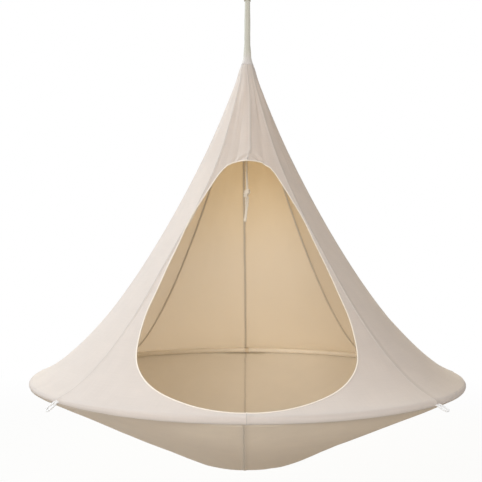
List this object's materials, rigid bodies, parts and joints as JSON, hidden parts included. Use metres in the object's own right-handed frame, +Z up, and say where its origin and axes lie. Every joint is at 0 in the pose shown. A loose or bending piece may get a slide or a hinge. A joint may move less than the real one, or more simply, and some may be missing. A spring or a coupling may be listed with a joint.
{
  "type": "hanging tent",
  "caption": "Canvas tent with a round hoop, a tall cone, a shallow bowl floor and an egg-shaped doorway, hung on a rope from a ceiling eye.",
  "frame": {"origin": "middle of the ceiling face of the eye plate", "axes": "+Z up into the ceiling, the doorway faces -Y, +X to the right of someone facing the doorway"},
  "size_m": [1.513, 1.513, 2.0262],
  "materials": {
    "canvas": "plain-woven cotton canvas",
    "sleeve_canvas": "canvas hoop sleeve",
    "binding_tape": "woven cotton tape",
    "neck_canvas": "canvas tube",
    "webbing": "stitched cotton webbing",
    "cotton_cord": "braided cord",
    "rope": "braided rope",
    "twine": "waxed whipping twine",
    "hoop_aluminium": "drawn tube",
    "zinc_steel": "zinc plated",
    "bright_steel": "bright"
  },
  "bodies": {
    "ceiling": {"ceiling_eye": "zinc_steel"},
    "hook": {"hook_body": "zinc_steel", "hinge_pin": "bright_steel"},
    "gate": {"hook_gate": "zinc_steel", "latch_pin": "bright_steel", "gate_plunger": "bright_steel", "gate_spring": "bright_steel"},
    "rope": {"thimble": "zinc_steel", "eye_seizing": "twine", "suspension_rope": "rope", "stopper_knot": "rope", "rope_tail": "rope", "tail_knot": "rope", "rope_end": "rope"},
    "tent": {"neck_sleeve": "neck_canvas", "neck_whipping": "twine", "apex_collar": "webbing", "door_binding": "binding_tape", "hoop_sleeve": "sleeve_canvas", "canopy_gore_front_right": "canvas", "canopy_gore_right_front": "canvas", "canopy_gore_right_back": "canvas", "canopy_gore_back_right": "canvas", "canopy_gore_back_left": "canvas", "canopy_gore_left_back": "canvas", "canopy_gore_left_front": "canvas", "canopy_gore_front_left": "canvas", "hoop_tube_front": "hoop_aluminium", "hoop_tube_right": "hoop_aluminium", "hoop_tube_back": "hoop_aluminium", "hoop_tube_left": "hoop_aluminium", "hoop_spigot_front_right": "hoop_aluminium", "button_spring_front_right": "bright_steel", "bowl_gore_front_right": "canvas", "tie_loop_front_right": "cotton_cord", "hoop_spigot_back_right": "hoop_aluminium", "button_spring_back_right": "bright_steel", "bowl_gore_back_right": "canvas", "tie_loop_back_right": "cotton_cord", "hoop_spigot_back_left": "hoop_aluminium", "button_spring_back_left": "bright_steel", "bowl_gore_back_left": "canvas", "tie_loop_back_left": "cotton_cord", "hoop_spigot_front_left": "hoop_aluminium", "button_spring_front_left": "bright_steel", "bowl_gore_front_left": "canvas", "tie_loop_front_left": "cotton_cord"},
    "button_front_right": {"snap_button_front_right": "bright_steel"},
    "button_back_right": {"snap_button_back_right": "bright_steel"},
    "button_back_left": {"snap_button_back_left": "bright_steel"},
    "button_front_left": {"snap_button_front_left": "bright_steel"}
  },
  "joints": [
    {"name": "hook_swing", "type": "hinge", "parent": "ceiling", "child": "hook", "pos_m": [0, 0, -0.04], "axis": [0, 1, 0], "range_deg": [-25, 25]},
    {"name": "gate_opening", "type": "hinge", "parent": "hook", "child": "gate", "pos_m": [0.02, 0, -0.0567], "axis": [0, 1, 0], "range_deg": [0, 28], "stiffness_Nm_per_rad": 0.15, "springref_deg": -17.19},
    {"name": "rope_swing", "type": "hinge", "parent": "hook", "child": "rope", "pos_m": [0, 0, -0.1307], "axis": [1, 0, 0], "range_deg": [-25, 25]},
    {"name": "tent_turn", "type": "hinge", "parent": "rope", "child": "tent", "pos_m": [0, 0, -0.61], "axis": [0, 0, 1], "range_deg": [-180, 180]},
    {"name": "button_press_front_right", "type": "slide", "parent": "tent", "child": "button_front_right", "axis": [0, 0, -1], "range_m": [0, 0.003], "stiffness_N_per_m": 800, "deforming": ["button_spring_front_right"]},
    {"name": "button_press_back_right", "type": "slide", "parent": "tent", "child": "button_back_right", "axis": [0, 0, -1], "range_m": [0, 0.003], "stiffness_N_per_m": 800, "deforming": ["button_spring_back_right"]},
    {"name": "button_press_back_left", "type": "slide", "parent": "tent", "child": "button_back_left", "axis": [0, 0, -1], "range_m": [0, 0.003], "stiffness_N_per_m": 800, "deforming": ["button_spring_back_left"]},
    {"name": "button_press_front_left", "type": "slide", "parent": "tent", "child": "button_front_left", "axis": [0, 0, -1], "range_m": [0, 0.003], "stiffness_N_per_m": 800, "deforming": ["button_spring_front_left"]}
  ]
}
